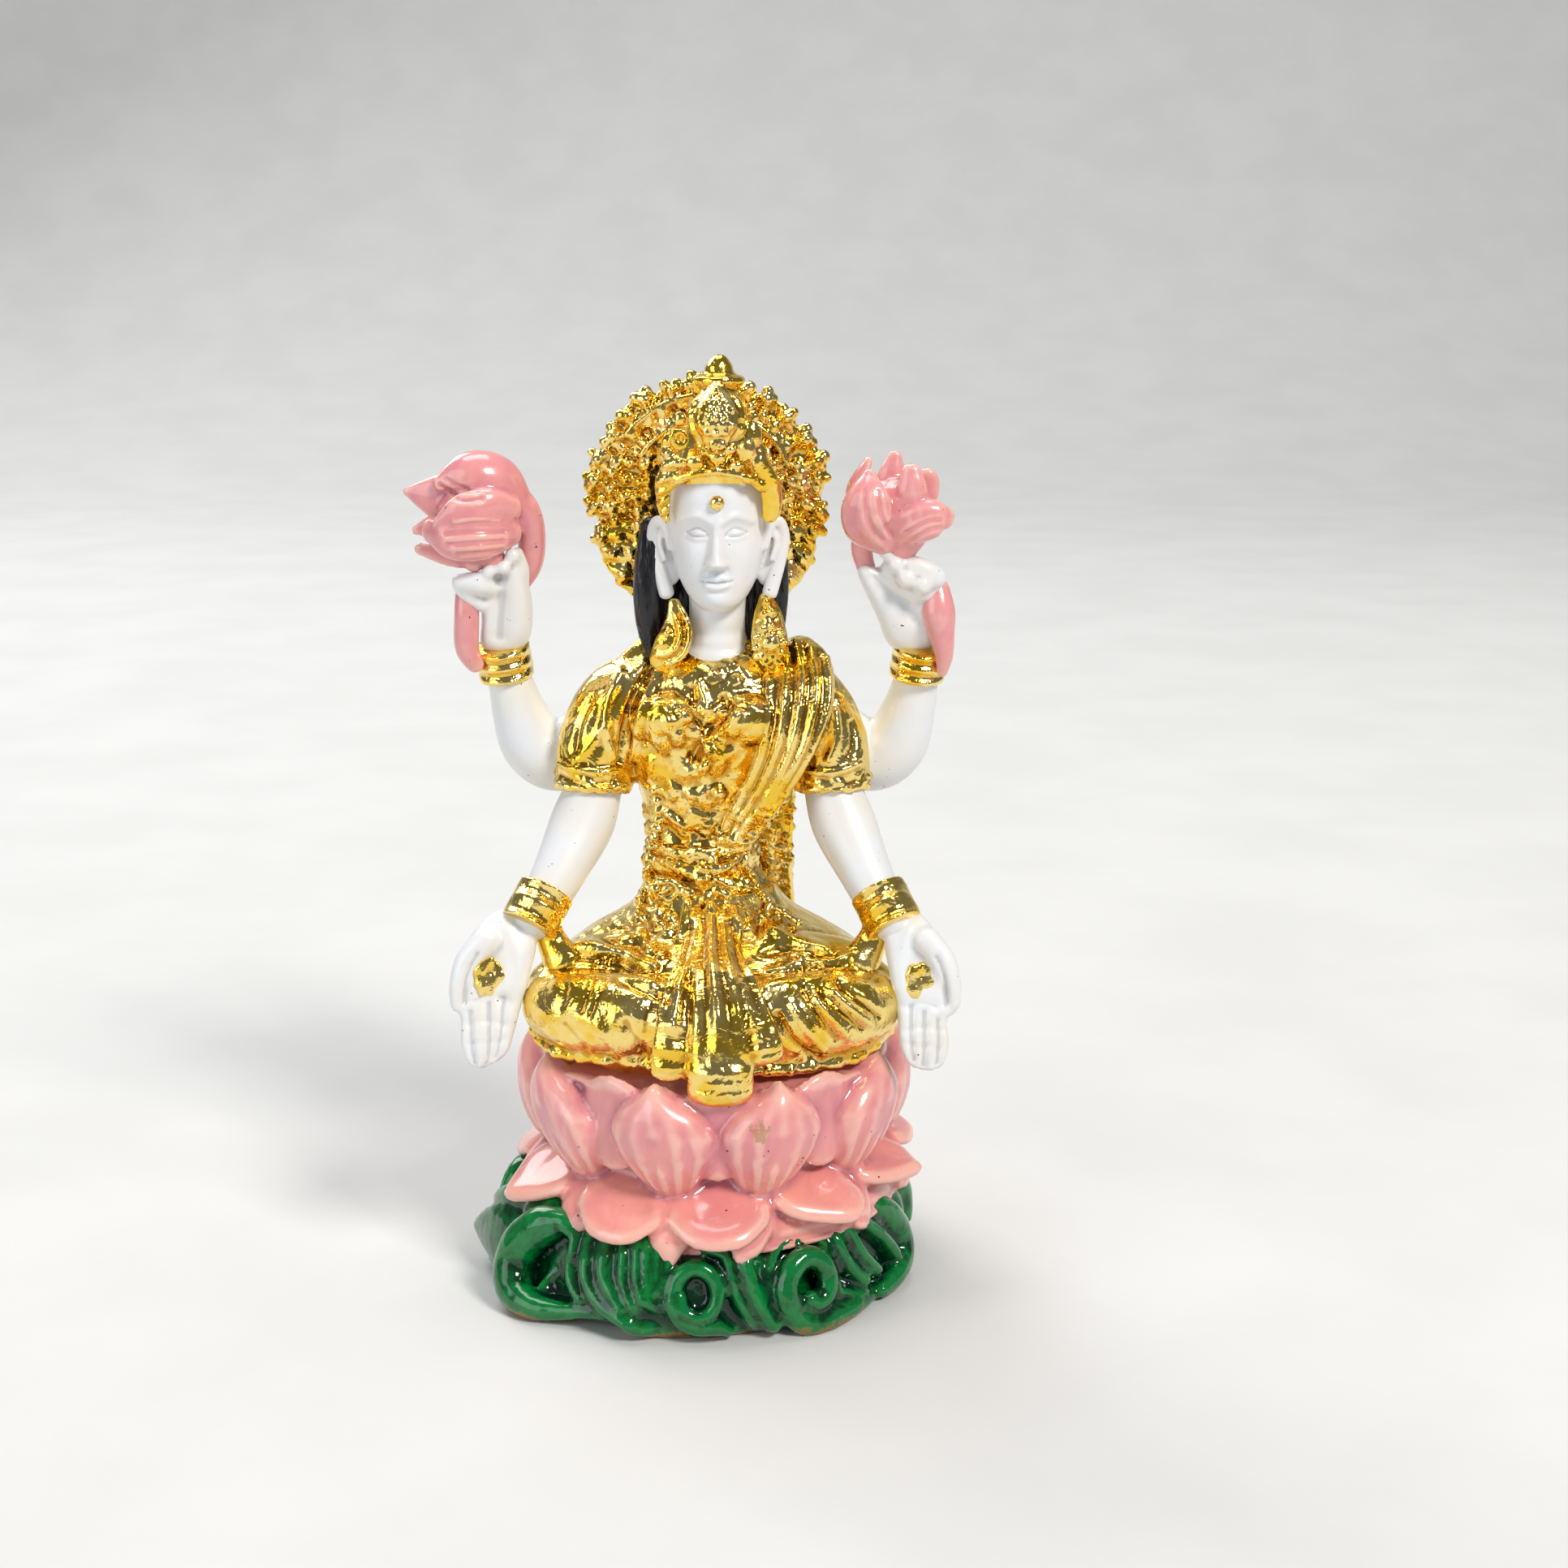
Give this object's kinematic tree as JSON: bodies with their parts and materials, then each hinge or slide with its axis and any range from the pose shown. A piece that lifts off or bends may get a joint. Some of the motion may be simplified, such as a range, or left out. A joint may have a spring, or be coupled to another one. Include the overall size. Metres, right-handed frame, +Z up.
{
  "type": "lakshmi figure",
  "caption": "Small cast figure of a seated four-armed goddess holding lotuses, on a lotus seat over curling waves, gilded and enamelled.",
  "frame": {"origin": "on the flat underside, below the figure's own upright axis", "axes": "+Z up through the crown, the figure faces -Y, +X to the viewer's right"},
  "size_m": [0.0305, 0.0246, 0.05],
  "materials": {
    "gold_plate": "bright gold electroplate on the cast relief",
    "white_enamel": "opaque white enamel with a soft gloss, on the face, neck, arms and hands",
    "pink_enamel": "glossy salmon pink enamel over white, on the petals and stems",
    "green_enamel": "glossy translucent emerald enamel, dark in the hollows of the waves",
    "black_enamel": "semi-gloss black enamel on the hair"
  },
  "bodies": {
    "root": {"lakshmi_figure": "gold_plate"}
  },
  "joints": []
}
